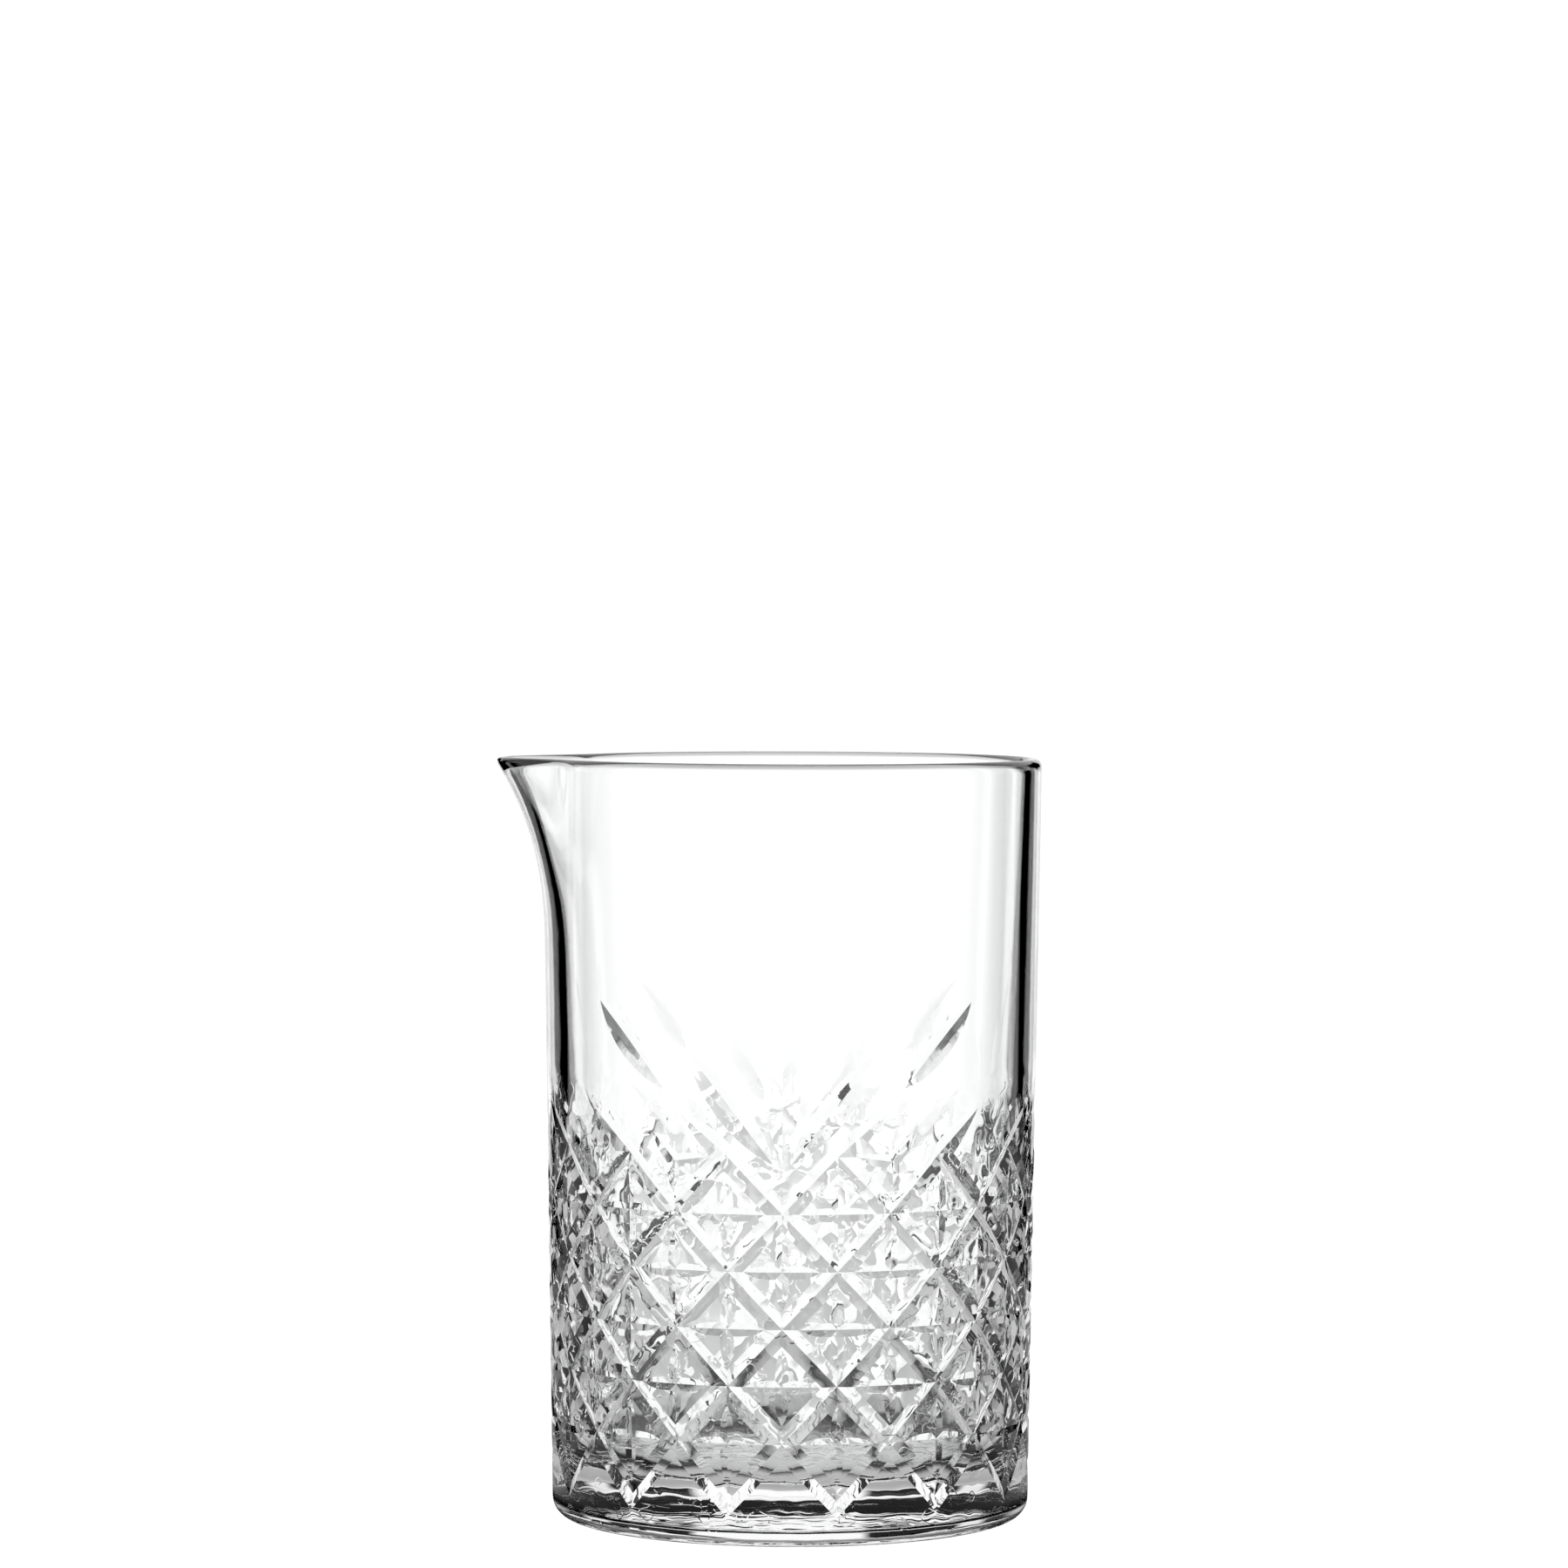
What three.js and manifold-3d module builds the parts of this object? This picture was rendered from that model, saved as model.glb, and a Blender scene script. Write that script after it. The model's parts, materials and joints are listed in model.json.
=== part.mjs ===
// Bartender's mixing glass: one piece of clear pressed glass with a pouring spout.
// Millimetres, +Z up, origin at the centre of the flat underside, spout towards -X.
import * as THREE from 'three';
import { mergeVertices } from 'three/addons/utils/BufferGeometryUtils.js';
import Module from 'manifold-3d';

// Outer body
const HEIGHT = 150;
const RIM_RADIUS = 49.4;
const FOOT_RADIUS = 47.0;
const HEEL = 3.9;

// Inside
const FLOOR = 11.5;
const FLOOR_RADIUS = 41.6;
const FLOOR_FILLET = 7.0;
const MOUTH_RADIUS = 46.2;

// Spout
const SPOUT_REACH = 9.8;
const SPOUT_START = 112;
const SPOUT_HALF_ANGLE = 0.5;
const SPOUT_CURVE = 2.5;

// Cut pattern: fourteen diamonds round the body, places given as [half column, height]
const HALF_COLUMNS = 28;
const FIRST_ROW = 9.1;
const ROW_PITCH = 11.0;
const ROWS = 6;
const GROOVE_DEPTH = 0.6;
const GROOVE_HALF_HEIGHT = 3.15;
const GROOVE_TIP = [0.9, 8.3];
const STAR_HALF_LENGTH = 7.3;
const STAR_DEPTH = 0.36;
const WHEEL_SLOPE = 0.267;
const CLEARANCE = 0.8;
const SMALLEST_FACET = 0.01;
const FACETS_FROM = 4.5;
const FACETS_TO = 76;
const FACETS_GONE = 112;

// Cuts above the diamonds, given for the right-hand side of each fan
const FAN_MIDDLE = { from: [0, 73.6], to: [0, 107.5], depth: 0.97 };
const FAN_SIDE = { from: [0.15, 73.6], to: [1.74, 95.0], depth: 0.78 };
const FAN_OUTER = { from: [2.2, 87.7], to: [3.68, 104.0], depth: 0.7 };
const THREE_ARM_CENTRE = [2.0, 74.0];
const THREE_ARM_TIPS = [[1.35, 75.0], [2.43, 79.3], [2.03, 68.4]];

const SEGMENTS = 2 * HALF_COLUMNS;
const HALF_COLUMN_ANGLE = (2 * Math.PI) / HALF_COLUMNS;
const HALF_COLUMN_WIDTH = HALF_COLUMN_ANGLE * 48.2;
const TOP_ROW = FIRST_ROW + ROWS * ROW_PITCH;

const wasm = await Module();
wasm.setup();

function toManifold(geometry) {
  const bare = geometry.clone();
  bare.deleteAttribute('normal');
  bare.deleteAttribute('uv');
  const merged = mergeVertices(bare, 1e-5);
  const index = Array.from(merged.index.array);
  const kept = [];
  for (let k = 0; k < index.length; k += 3) {
    const [a, b, c] = [index[k], index[k + 1], index[k + 2]];
    if (a !== b && b !== c && c !== a) kept.push(a, b, c);
  }
  const mesh = new wasm.Mesh({
    numProp: 3,
    vertProperties: new Float32Array(merged.attributes.position.array),
    triVerts: new Uint32Array(kept),
  });
  return new wasm.Manifold(mesh);
}

function toGeometry(solid) {
  const mesh = solid.getMesh();
  const geometry = new THREE.BufferGeometry();
  geometry.setAttribute('position', new THREE.BufferAttribute(mesh.vertProperties, 3));
  geometry.setIndex(new THREE.BufferAttribute(mesh.triVerts, 1));
  const flat = geometry.toNonIndexed();
  flat.computeVertexNormals();
  return flat;
}

// Outside radius of the plain body at a height
function bodyRadius(z) {
  return FOOT_RADIUS + ((RIM_RADIUS - FOOT_RADIUS) * z) / HEIGHT;
}

// Radius at an angle of a regular polygon whose corners lie at radius 1
function polygon(sides, angle) {
  const step = (2 * Math.PI) / sides;
  const fromMiddle = angle - step * (Math.floor(angle / step) + 0.5);
  return Math.cos(step / 2) / Math.cos(fromMiddle);
}

// Share of the flat facets behind the cut pattern: whole along the diamonds, none at the ends
function flatness(z) {
  const below = Math.min(Math.max((z - HEEL) / (FACETS_FROM - HEEL), 0), 1);
  const above = Math.min(Math.max((FACETS_GONE - z) / (FACETS_GONE - FACETS_TO), 0), 1);
  return Math.min(below, above);
}

// Outside radius of the faceted body
function skin(z, angle) {
  const flat = flatness(z);
  const share = (1 - flat) * polygon(SEGMENTS, angle) + flat * polygon(HALF_COLUMNS, angle);
  return bodyRadius(z) * share;
}

function arc(cx, cz, radius, from, to, steps) {
  const points = [];
  for (let k = 0; k <= steps; k += 1) {
    const a = from + ((to - from) * k) / steps;
    points.push(new THREE.Vector2(cx + radius * Math.cos(a), cz + radius * Math.sin(a)));
  }
  return points;
}

// Section of the glass: underside, outside, over the rim, inside, floor
function section() {
  const quarter = Math.PI / 2;
  const lip = (RIM_RADIUS - MOUTH_RADIUS) / 2;
  const wallFoot = FLOOR + FLOOR_FILLET;
  const heel = arc(bodyRadius(HEEL) - HEEL, HEEL, HEEL, -quarter, 0, 5);
  const rim = arc(MOUTH_RADIUS + lip, HEIGHT - lip, lip, 0, 2 * quarter, 6);
  const fillet = arc(FLOOR_RADIUS - FLOOR_FILLET, wallFoot, FLOOR_FILLET, 0, -quarter, 4);
  const pressed = [FACETS_FROM, FACETS_TO].map((z) => new THREE.Vector2(bodyRadius(z), z));
  const outside = [FACETS_GONE, 124, 133, 140, 145].map((z) => new THREE.Vector2(bodyRadius(z), z));
  const inside = outside.map(({ y }) => {
    const share = (y - wallFoot) / (HEIGHT - lip - wallFoot);
    return new THREE.Vector2(FLOOR_RADIUS + (MOUTH_RADIUS - FLOOR_RADIUS) * share, y);
  });
  inside.reverse();
  const bottom = new THREE.Vector2(0, 0);
  const floor = new THREE.Vector2(0, FLOOR);
  return [bottom, ...heel, ...pressed, ...outside, ...rim, ...inside, ...fillet, floor];
}

// Presses the outside flat between the half columns
function pressFacets(geometry) {
  const p = geometry.attributes.position;
  for (let k = 0; k < p.count; k += 1) {
    const [x, y, z] = [p.getX(k), p.getY(k), p.getZ(k)];
    const radius = Math.hypot(x, y);
    if (radius > FOOT_RADIUS && z < FACETS_GONE) {
      const scale = skin(z, Math.atan2(x, -y)) / radius;
      p.setXYZ(k, x * scale, y * scale, z);
    }
  }
}

// Draws the wall out towards -X near the rim
function drawSpout(geometry) {
  const p = geometry.attributes.position;
  for (let k = 0; k < p.count; k += 1) {
    const [x, y, z] = [p.getX(k), p.getY(k), p.getZ(k)];
    const angle = Math.abs(Math.atan2(y, -x));
    if (z > SPOUT_START && angle < SPOUT_HALF_ANGLE) {
      const rise = Math.pow((z - SPOUT_START) / (HEIGHT - SPOUT_START), SPOUT_CURVE);
      const spread = Math.pow(Math.cos((angle / SPOUT_HALF_ANGLE) * (Math.PI / 2)), 2);
      const scale = 1 + (SPOUT_REACH * rise * spread) / Math.hypot(x, y);
      p.setXYZ(k, x * scale, y * scale, z);
    }
  }
}

function blank() {
  const body = new THREE.LatheGeometry(section(), SEGMENTS);
  body.rotateX(Math.PI / 2);
  pressFacets(body);
  drawSpout(body);
  return toManifold(body);
}

// A V cut wrapped round the body. Each station is [half column, height, share of the depth];
// across is the section's direction as [millimetres round, millimetres up].
function cut(stations, across, depth, slope) {
  const reach = (depth + CLEARANCE) / slope;
  const vee = new THREE.Shape();
  vee.moveTo(0, -depth);
  vee.lineTo(reach, CLEARANCE);
  vee.lineTo(-reach, CLEARANCE);
  vee.closePath();
  const steps = stations.length - 1;
  const tool = new THREE.ExtrudeGeometry(vee, { depth: steps, steps, bevelEnabled: false });
  const p = tool.attributes.position;
  for (let k = 0; k < p.count; k += 1) {
    const [column, height, share] = stations[Math.round(p.getZ(k))];
    const z = height + across[1] * p.getX(k);
    const angle = (column + (across[0] * p.getX(k)) / HALF_COLUMN_WIDTH) * HALF_COLUMN_ANGLE;
    const radius = skin(z, angle) + p.getY(k) + depth * (1 - share);
    p.setXYZ(k, radius * Math.sin(angle), -radius * Math.cos(angle), z);
  }
  return toManifold(tool);
}

// Straight cut whose depth follows a share function of 0 to 1 along it
function straightCut(from, to, depth, steps, share) {
  const stations = [];
  for (let k = 0; k <= steps; k += 1) {
    const t = k / steps;
    const column = from[0] + (to[0] - from[0]) * t;
    stations.push([column, from[1] + (to[1] - from[1]) * t, share(t)]);
  }
  const round = (to[0] - from[0]) * HALF_COLUMN_WIDTH;
  const up = to[1] - from[1];
  const length = Math.hypot(round, up);
  return cut(stations, [-up / length, round / length], depth, WHEEL_SLOPE);
}

const wholeLens = (t) => 1 - (2 * t - 1) ** 2;
const halfLens = (t) => 1 - t * t;

// One sloping groove, climbing from the bottom row; turn is 1 or -1 for its hand
function groove(start, turn, tipped) {
  const stations = [];
  for (let k = 0; k <= ROWS; k += 1) {
    stations.push([start + turn * k, FIRST_ROW + ROW_PITCH * k, 1]);
  }
  if (tipped) {
    for (const t of [0.4, 0.75, 1]) {
      const column = start + turn * (ROWS + GROOVE_TIP[0] * t);
      stations.push([column, TOP_ROW + GROOVE_TIP[1] * t, halfLens(t)]);
    }
  }
  return cut(stations, [0, turn], GROOVE_DEPTH, GROOVE_DEPTH / GROOVE_HALF_HEIGHT);
}

// Grooves run on to a tip only on the side of a fan that they lean away from
function grooves() {
  const tools = [];
  for (let start = 1; start < HALF_COLUMNS; start += 2) {
    for (const turn of [1, -1]) {
      const past = (turn * (start + turn * ROWS) + 2 * HALF_COLUMNS) % (HALF_COLUMNS / 2);
      tools.push(groove(start, turn, past < 7));
    }
  }
  return tools;
}

// Two crossed cuts on every diamond
function stars() {
  const tools = [];
  const reach = STAR_HALF_LENGTH / HALF_COLUMN_WIDTH;
  for (let row = 1; row < ROWS; row += 1) {
    const z = FIRST_ROW + ROW_PITCH * row;
    for (let column = row % 2; column < HALF_COLUMNS; column += 2) {
      const level = [[column - reach, z], [column + reach, z]];
      const upright = [[column, z - STAR_HALF_LENGTH], [column, z + STAR_HALF_LENGTH]];
      tools.push(straightCut(level[0], level[1], STAR_DEPTH, 2, wholeLens));
      tools.push(straightCut(upright[0], upright[1], STAR_DEPTH, 2, wholeLens));
    }
  }
  return tools;
}

// The fan of leaves and its two three-armed stars, centred on a half column
function fan(centre) {
  const place = ([column, z], side) => [centre + side * column, z];
  const { from, to, depth } = FAN_MIDDLE;
  const tools = [straightCut(place(from, 1), place(to, 1), depth, 6, wholeLens)];
  for (const side of [1, -1]) {
    for (const leaf of [FAN_SIDE, FAN_OUTER]) {
      tools.push(straightCut(place(leaf.from, side), place(leaf.to, side), leaf.depth, 6, wholeLens));
    }
    for (const tip of THREE_ARM_TIPS) {
      const start = place(THREE_ARM_CENTRE, side);
      tools.push(straightCut(start, place(tip, side), STAR_DEPTH, 3, halfLens));
    }
  }
  return tools;
}

function glassBody() {
  let solid = blank();
  for (const tool of [...grooves(), ...stars(), ...fan(0), ...fan(HALF_COLUMNS / 2)]) {
    solid = solid.subtract(tool);
  }
  solid = solid.simplify(SMALLEST_FACET);
  const glass = new THREE.MeshStandardMaterial({ color: 0xe4eef0, roughness: 0.05, metalness: 0 });
  const mesh = new THREE.Mesh(toGeometry(solid), glass);
  mesh.name = 'glass_body';
  return mesh;
}

const object = new THREE.Group();
object.name = 'mixing_glass';
object.add(glassBody());

export default object;
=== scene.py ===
import json
import logging
import math
from dataclasses import dataclass, field
from enum import Enum
from typing import Callable, Iterator, Sequence

import bmesh
import bpy
from mathutils import Matrix, Vector

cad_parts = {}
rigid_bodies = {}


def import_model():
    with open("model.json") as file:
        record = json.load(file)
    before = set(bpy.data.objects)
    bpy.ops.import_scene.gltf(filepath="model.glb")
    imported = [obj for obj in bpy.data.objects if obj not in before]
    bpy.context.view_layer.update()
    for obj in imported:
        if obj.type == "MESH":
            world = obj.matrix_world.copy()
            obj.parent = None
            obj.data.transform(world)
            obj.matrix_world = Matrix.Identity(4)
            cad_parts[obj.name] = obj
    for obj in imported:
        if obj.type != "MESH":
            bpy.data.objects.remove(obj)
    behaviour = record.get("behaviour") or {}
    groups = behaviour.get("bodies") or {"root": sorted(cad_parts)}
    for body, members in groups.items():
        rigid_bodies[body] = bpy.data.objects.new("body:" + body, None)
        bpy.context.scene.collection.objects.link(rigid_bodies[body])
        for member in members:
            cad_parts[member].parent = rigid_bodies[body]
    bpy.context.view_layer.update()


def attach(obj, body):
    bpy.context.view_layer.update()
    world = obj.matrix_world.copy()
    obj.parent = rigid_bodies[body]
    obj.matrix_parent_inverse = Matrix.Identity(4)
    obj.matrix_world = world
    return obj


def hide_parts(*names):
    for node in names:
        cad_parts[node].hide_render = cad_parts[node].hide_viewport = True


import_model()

MM = 0.001
LOG = logging.getLogger("mixing_glass")

# Tolerances on the flat sheet, in millimetres
TOUCH = 1e-3
ON_LINE = 2e-4
SHORTEST_SCORE = 1e-4

# Share of its keel's length by which a place may miss the end of a cut
KEEL_SLACK = 1e-6

# Depth in millimetres at which a hollow flank meets the plain V
HOLLOW_FULL = 0.6

# Power of the distance along its keel by which each form of cut gets shallower
LEAF_POWER = 2.2
BLUNT_POWER = 4
TIP_POWER = 2
ARM_POWER = 3

# Grey of the white that is seen directly, a little over 1 so that none of it looks dull
WHITE = 1.05

# Degrees from straight behind the glass round to the viewer
HALF_TURN = 180.0

Place = tuple[float, float]


class CutForm(Enum):
    """How the depth of a V cut runs along its keel."""

    EVEN = "even"
    LEAF = "leaf"
    BLUNT = "blunt"
    TIP = "tip"
    ARM = "arm"

    def share(self, t: float) -> float:
        """Share of the full depth.

        Args:
            t: place along the keel, from 0 to 1.

        Returns:
            0 at a closed end and 1 where the cut is deepest.
        """
        if self is CutForm.EVEN:
            return 1.0
        if self is CutForm.LEAF:
            return 1.0 - abs(2.0 * t - 1.0) ** LEAF_POWER
        if self is CutForm.BLUNT:
            return 1.0 - abs(2.0 * t - 1.0) ** BLUNT_POWER
        if self is CutForm.TIP:
            return 1.0 - t ** TIP_POWER
        return 1.0 - t ** ARM_POWER

    def bands(self) -> int:
        """Number of strips in each flank, more than one where a flank may be hollow."""
        return {CutForm.EVEN: 3, CutForm.LEAF: 2}.get(self, 1)

    def stations(self) -> list[float]:
        """Places along the keel where the outline gets a corner.

        Returns:
            Places from 0 to 1, in rising order.
        """
        if self is CutForm.EVEN:
            return [0.0, 1.0]
        if self is CutForm.LEAF:
            return [0.0, 0.04, 0.1, 0.18, 0.28, 0.39, 0.5, 0.61, 0.72, 0.82, 0.9, 0.96, 1.0]
        if self is CutForm.BLUNT:
            return [0.0, 0.04, 0.11, 0.21, 0.34, 0.5, 0.66, 0.79, 0.89, 0.96, 1.0]
        return [0.0, 0.25, 0.45, 0.62, 0.78, 0.9, 1.0]


@dataclass(frozen=True)
class GlassSizes:
    """Sizes of the plain body, in millimetres."""

    height: float = 150.0
    rim_radius: float = 49.4
    foot_radius: float = 47.0
    heel: float = 3.9
    floor: float = 11.5
    floor_radius: float = 41.6
    floor_fillet: float = 7.0
    mouth_radius: float = 46.2
    pattern_radius: float = 48.2
    half_columns: int = 28
    splits: int = 6
    first_row: float = 9.1
    row_pitch: float = 11.0
    rows: int = 6

    @property
    def lip(self) -> float:
        """Radius of the rounded rim."""
        return (self.rim_radius - self.mouth_radius) / 2.0

    @property
    def steps(self) -> int:
        """Divisions round the whole body."""
        return self.half_columns * self.splits

    @property
    def column(self) -> float:
        """Width of half a diamond on the flat sheet."""
        return 2.0 * math.pi / self.half_columns * self.pattern_radius

    @property
    def quarter(self) -> int:
        """Half diamonds in a quarter of the way round."""
        return self.half_columns // 4

    @property
    def top_row(self) -> float:
        """Height of the highest row of crossings."""
        return self.first_row + self.rows * self.row_pitch

    def outside(self, z: float) -> float:
        """Outside radius of the plain wall at a height."""
        return self.foot_radius + (self.rim_radius - self.foot_radius) * z / self.height

    def inside(self, z: float) -> float:
        """Inside radius of the wall.

        Args:
            z: a height above the floor's fillet.

        Returns:
            The radius, which grows evenly up to the lip.
        """
        foot = self.floor + self.floor_fillet
        share = (z - foot) / (self.height - self.lip - foot)
        return self.floor_radius + (self.mouth_radius - self.floor_radius) * share


@dataclass(frozen=True)
class VCut:
    """One V-shaped cut, laid out on the flat sheet in millimetres.

    Its hollow is 0 for flat flanks and rises to 1 as they curve in.
    """

    start: Place
    end: Place
    across: Place
    depth: float
    slope: float
    form: CutForm
    hollow: float = 0.0

    @classmethod
    def straight(
        cls, start: Place, end: Place, depth: float, slope: float, form: CutForm, hollow: float = 0.0
    ) -> "VCut":
        """A cut whose section is square to its keel.

        Args:
            start: where the keel starts.
            end: where the keel ends.
            depth: the greatest depth.
            slope: depth lost for each millimetre away from the keel.
            form: how the depth runs along the keel.
            hollow: how much the flanks curve in.

        Returns:
            The cut.
        """
        dx, dy = end[0] - start[0], end[1] - start[1]
        length = math.hypot(dx, dy)
        return cls(start, end, (-dy / length, dx / length), depth, slope, form, hollow)

    def at(self, t: float, u: float) -> Place:
        """A place given from the keel.

        Args:
            t: share of the way along the keel.
            u: millimetres across it.

        Returns:
            The place on the sheet.
        """
        x = self.start[0] + (self.end[0] - self.start[0]) * t + self.across[0] * u
        y = self.start[1] + (self.end[1] - self.start[1]) * t + self.across[1] * u
        return x, y

    def depth_at(self, x: float, y: float) -> float:
        """Depth that this cut alone gives at a place.

        Args:
            x: millimetres to the right.
            y: millimetres up.

        Returns:
            The depth, or 0 outside the cut.
        """
        dx, dy = self.end[0] - self.start[0], self.end[1] - self.start[1]
        px, py = x - self.start[0], y - self.start[1]
        turn = dx * self.across[1] - dy * self.across[0]
        t = (px * self.across[1] - py * self.across[0]) / turn
        u = (dx * py - dy * px) / turn
        if t < -KEEL_SLACK or t > 1.0 + KEEL_SLACK:
            return 0.0
        t = min(max(t, 0.0), 1.0)
        plain = max(0.0, self.depth * self.form.share(t) - self.slope * abs(u))
        return plain * (1.0 - self.hollow + self.hollow * plain / HOLLOW_FULL)

    def creases(self) -> Iterator[tuple[Place, Place]]:
        """Straight scores for the keel, the strips of both flanks and the ribs across them.

        Yields:
            The two ends of each score.
        """
        marks = self.form.stations()
        reach = [self.depth * self.form.share(t) / self.slope for t in marks]
        yield self.start, self.end
        bands = self.form.bands()
        for part in (side * band / bands for side in (-1.0, 1.0) for band in range(1, bands + 1)):
            for k in range(len(marks) - 1):
                yield self.at(marks[k], part * reach[k]), self.at(marks[k + 1], part * reach[k + 1])
        for t, wide in zip(marks[1:-1], reach[1:-1]):
            yield self.at(t, -wide), self.at(t, wide)


class Sheet:
    """A flat piece of the outside, scored along creases before it is pressed and wrapped."""

    def __init__(self) -> None:
        """Starts an empty sheet."""
        self.bm = bmesh.new()

    def lay(
        self, x0: float, x1: float, y0: float, y1: float, across: int, heights: Sequence[float] = ()
    ) -> None:
        """Adds a grid to the sheet.

        Args:
            x0: left side.
            x1: right side.
            y0: lower side.
            y1: upper side.
            across: number of divisions from left to right.
            heights: further levels to divide it at.
        """
        made = bmesh.ops.create_grid(self.bm, x_segments=across, y_segments=1, size=0.5)["verts"]
        bmesh.ops.scale(self.bm, vec=(x1 - x0, y1 - y0, 1.0), verts=made)
        bmesh.ops.translate(self.bm, vec=((x0 + x1) / 2.0, (y0 + y1) / 2.0, 0.0), verts=made)
        for y in heights:
            self.score((x0, y), (x1, y))

    def score(self, a: Place, b: Place) -> None:
        """Cuts the faces that a straight line passes through.

        Args:
            a: one end of the line.
            b: its other end.
        """
        start = Vector((a[0], a[1], 0.0))
        along = Vector((b[0] - a[0], b[1] - a[1], 0.0))
        length = along.length
        if length < SHORTEST_SCORE:
            return
        along /= length
        normal = Vector((-along.y, along.x, 0.0))
        faces = [f for f in self.bm.faces if self._meets(f, start, along, normal, length)]
        if faces:
            edges = dict.fromkeys(e for f in faces for e in f.edges)
            verts = dict.fromkeys(v for f in faces for v in f.verts)
            bmesh.ops.bisect_plane(
                self.bm, geom=[*verts, *edges, *faces], dist=ON_LINE, plane_co=start, plane_no=normal
            )

    @staticmethod
    def _meets(face: bmesh.types.BMFace, start: Vector, along: Vector, normal: Vector, length: float) -> bool:
        """Whether the inside of a face meets the line, by more than a touch.

        Args:
            face: a face of the sheet.
            start: where the line starts.
            along: its direction, of length 1.
            normal: the direction square to it, of length 1.
            length: how long the line is.

        Returns:
            True if the line has to cut the face.
        """
        spots = [v.co - start for v in face.verts]
        sides = [spot.dot(normal) for spot in spots]
        if max(sides) < TOUCH or min(sides) > -TOUCH:
            return False
        reach = [spot.dot(along) for spot in spots]
        if max(reach) < TOUCH or min(reach) > length - TOUCH:
            return False
        crossings = []
        for k, side in enumerate(sides):
            other = sides[k - 1]
            if (side > 0.0) != (other > 0.0):
                crossings.append(reach[k] + (reach[k - 1] - reach[k]) * side / (side - other))
        return bool(crossings) and max(crossings) > TOUCH and min(crossings) < length - TOUCH

    def add_copy(self, other: "Sheet", matrix: Matrix) -> None:
        """Adds a copy of another sheet.

        Args:
            other: the sheet to copy.
            matrix: moves or mirrors the copy.
        """
        mesh = bpy.data.meshes.new("tile")
        other.bm.to_mesh(mesh)
        mesh.transform(matrix)
        self.bm.from_mesh(mesh)
        bpy.data.meshes.remove(mesh)

    def press(self, depth: Callable[[float, float], float]) -> None:
        """Lowers every point by the depth at its place, where that is deeper than it already is."""
        for v in self.bm.verts:
            v.co.z = min(v.co.z, -depth(v.co.x, v.co.y))

    def weld(self) -> None:
        """Joins points that lie together."""
        bmesh.ops.remove_doubles(self.bm, verts=self.bm.verts, dist=TOUCH)


@dataclass(frozen=True)
class DiamondPattern:
    """Sloping grooves with a star on every diamond, in millimetres."""

    sizes: GlassSizes
    groove_depth: float = 0.6
    groove_half_height: float = 3.15
    star_half_length: float = 7.3
    star_depth: float = 0.36
    wheel_slope: float = 0.267
    groove_hollow: float = 0.45

    @property
    def groove_slope(self) -> float:
        """Depth lost for each millimetre above or below a groove's keel."""
        return self.groove_depth / self.groove_half_height

    def groove(self, start: Place, end: Place, form: CutForm = CutForm.EVEN) -> VCut:
        """A sloping groove with upright sections."""
        return VCut(start, end, (0.0, 1.0), self.groove_depth, self.groove_slope, form, self.groove_hollow)

    def star(self, x: float, y: float) -> list[VCut]:
        """The star on a diamond.

        Args:
            x: millimetres to its centre, to the right.
            y: millimetres to its centre, up.

        Returns:
            Its level cut and its upright cut.
        """
        h, depth, slope = self.star_half_length, self.star_depth, self.wheel_slope
        keels = (((x - h, y), (x + h, y)), ((x, y - h), (x, y + h)))
        return [VCut.straight(a, b, depth, slope, CutForm.BLUNT) for a, b in keels]

    def tile(self, low_star: bool, high_star: bool) -> Sheet:
        """One half diamond wide, one row high, with its groove climbing to the right.

        Args:
            low_star: cut the star at the lower right corner.
            high_star: cut the star at the upper left corner.

        Returns:
            A scored and pressed sheet with its lower left corner at the origin.
        """
        w, p = self.sizes.column, self.sizes.row_pitch
        sheet = Sheet()
        sheet.lay(0.0, w, 0.0, p, self.sizes.splits)
        cuts = [self.groove((0.0, 0.0), (w, p))]
        centres = [(w, 0.0)] * low_star + [(0.0, p)] * high_star
        for x, y in centres:
            cuts.extend(self.star(x, y))
            wide = self.star_depth / self.wheel_slope
            inward = wide if x == 0.0 else -wide
            sheet.score((x, y), (x + inward, y - wide if y else wide))
        for cut in cuts:
            for a, b in cut.creases():
                sheet.score(a, b)
        sheet.press(lambda x, y: max(cut.depth_at(x, y) for cut in cuts))
        return sheet


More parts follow.
